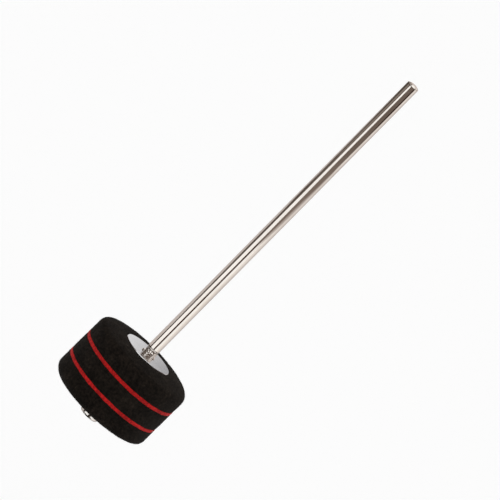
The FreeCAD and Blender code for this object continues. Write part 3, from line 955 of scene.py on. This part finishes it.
def left_cards():
    """A dark gap at the left of the camera with a glint in it, a grey wall behind it and a dark height"""
    make_card("left_line", upright(NEAR, (CARD_FLOOR, -77, -54), (0.040, -77, -56)), BLACK)
    make_card("left_gap", upright(NEAR, (-0.045, -77, -72), (-0.020, -83, -64), (0.005, -91, -56),
                                  (0.030, -96, -56), (0.057, -122, -52), (0.084, -137, -46),
                                  (0.105, -144, -43), (0.160, -155, -40)), CHARCOAL, UMBER)
    make_card("left_glint", upright(GLINT_DISTANCE, (0.070, -82, -72), (0.090, -84, -64), (0.160, -84, -63)),
              MOCHA, BRONZE)
    make_card("left_wall", upright(FAR, (CARD_FLOOR, -172, -75), (0.030, -172, -92), (0.120, -172, -130)),
              GREY)
    make_card("left_height", upright(NEAR, (0.160, -155, -40), (0.300, -165, -25), (0.500, -168, -20)),
              BLACK, DARK)
    make_card("left_ceiling", upright(NEAR, (0.500, -168, -20), (0.950, -172, -15)), UMBER)
    make_card("left_back_ceiling", upright(CEILING_DISTANCE, (0.380, -172, -142), (0.950, -174, -120),
                                           (1.700, -176, -120)), TAUPE)


def front_cards():
    """A dim room round the camera, which fades to the right and ends in a dark edge"""
    make_card("front_line", upright(NEAR, (CARD_FLOOR, -1, 24), (0.035, -3, 24)), INK)
    make_card("front_low", upright(NEAR, (0.012, -1, 24), (0.038, -6, 34), (0.054, -10, 64),
                                   (0.066, -12, 68)), TAN)
    make_card("front_gap", upright(NEAR, (0.066, -12, 68), (0.085, -14, 72), (0.150, -18, 73)), BROWN)
    make_card("front_fade", upright(FADE_DISTANCE, (0.010, 18, 38), (0.036, 24, 84), (0.060, 60, 84)),
              TAN, PALE)
    make_card("front_edge", upright(GLINT_DISTANCE, (0.088, 54, 66), (0.100, 47, 69), (0.150, 47, 69)), BLACK)
    make_card("dim_room", upright(NEAR, (0.150, -18, 73), (0.220, -50, 80), (0.480, -54, 84)), DARK, BROWN)


def right_and_back_cards():
    """A pale wall at the right with a dim stretch higher up, and a back that goes from slate to silver"""
    make_card("right_wall", upright(FAR, (CARD_FLOOR, 52, 128), (0.160, 60, 128)), CREAM, GREY)
    make_card("right_end", upright(FAR, (CARD_FLOOR, 126, 172), (0.300, 126, 172)), GREY, PALE)
    make_card("right_low", upright(LOW_DISTANCE, (CARD_FLOOR, 114, 172), (-0.020, 122, 172)), PALE, SLATE)
    make_card("right_height", upright(FAR, (0.160, 88, 145), (1.200, 88, 145)), PALE)
    make_card("right_dim", upright(DIM_DISTANCE, (0.230, 62, 135), (0.560, 62, 135)), BROWN)
    make_card("back_right", upright(BACK, (0.030, 135, 178.8), (0.220, 135, 178.8)), SLATE)
    make_card("back_middle", upright(BACK, (0.030, 178.8, 181.2), (0.220, 178.8, 181.2)), SLATE, SILVER)
    make_card("back_left", upright(BACK, (0.030, 181.2, 225), (0.220, 181.2, 225)), SILVER)
    make_card("back_height", upright(BACK, (0.220, 145, 215), (0.480, 145, 215)), BEIGE)


def floor_cards():
    """What the nut and the washers mirror from below: the walls' shades and the head's own shade"""
    make_card("floor_left_line", lying(-77, -54), PAINTED_SHADE)
    make_card("floor_left", lying(-172, -77), GREY)
    make_card("floor_front_line", lying(-1, 22), PAINTED_SHADE)
    make_card("floor_front_fade", lying(22, 42), PAINTED_SHADE, CREAM)
    make_card("collar_fade", upright(COLLAR_DISTANCE, (CARD_FLOOR, 22, 42), (-0.080, 22, 42)), PAINTED_SHADE, CREAM)
    make_card("floor_right", lying(60, 110), CREAM, PALE)
    make_card("floor_far_right", lying(110, 172), PALE, SLATE)
    # Painted shadow: dark cards under, before and behind the beater stand for the shade on the floor round
    # it, as the nut and the washers mirror it
    make_card("floor_shade", [(0.001, SHADE_FLOOR, -75, 75), (0.300, SHADE_FLOOR, -64, 64)], PAINTED_SHADE)
    make_card("floor_back_shadow", [(0.001, SHADE_FLOOR, 75, 285), (0.030, SHADE_FLOOR, 75, 285)], PAINTED_SHADE)
    make_card("floor_far_shadow", [(0.030, SHADE_FLOOR, 140, 220), (0.400, SHADE_FLOOR, 150, 210)], PAINTED_SHADE)


make_world()
make_floor()
make_lamp("key_lamp", angle=-35, height=50, strength=0.95, width=40)
make_lamp("fill_lamp", angle=45, height=35, strength=0.38, width=50)
left_cards()
front_cards()
right_and_back_cards()
floor_cards()


# Camera

def make_camera():
    """A long lens at the photograph's angle, rolled so that the shaft slopes as it does there"""
    back = camera_side(0) * math.cos(ELEVATION) + Vector((0, 0, math.sin(ELEVATION)))
    side = Vector((math.cos(AZIMUTH), math.sin(AZIMUTH), 0))
    rise = back.cross(side)
    right = side * math.sin(SHAFT_SLOPE) + rise * math.cos(SHAFT_SLOPE)
    up = rise * math.sin(SHAFT_SLOPE) - side * math.cos(SHAFT_SLOPE)
    across = (WASHER_PIXEL[0] - PIXELS / 2) * METRES_PER_PIXEL
    down = (WASHER_PIXEL[1] - PIXELS / 2) * METRES_PER_PIXEL
    place = Vector((0, 0, WASHER_TOP)) - right * across + up * down + back * CAMERA_DISTANCE
    data = bpy.data.cameras.new("photo_camera")
    data.sensor_width = SENSOR
    data.lens = CAMERA_DISTANCE / METRES_PER_PIXEL * SENSOR / PIXELS
    data.clip_end = CLIP_END
    camera = bpy.data.objects.new("photo_camera", data)
    bpy.context.scene.collection.objects.link(camera)
    turn = Matrix((right, up, back)).transposed().to_4x4()
    camera.matrix_world = Matrix.Translation(place) @ turn
    bpy.context.scene.camera = camera


make_camera()
bpy.context.scene.view_settings.view_transform = "Standard"
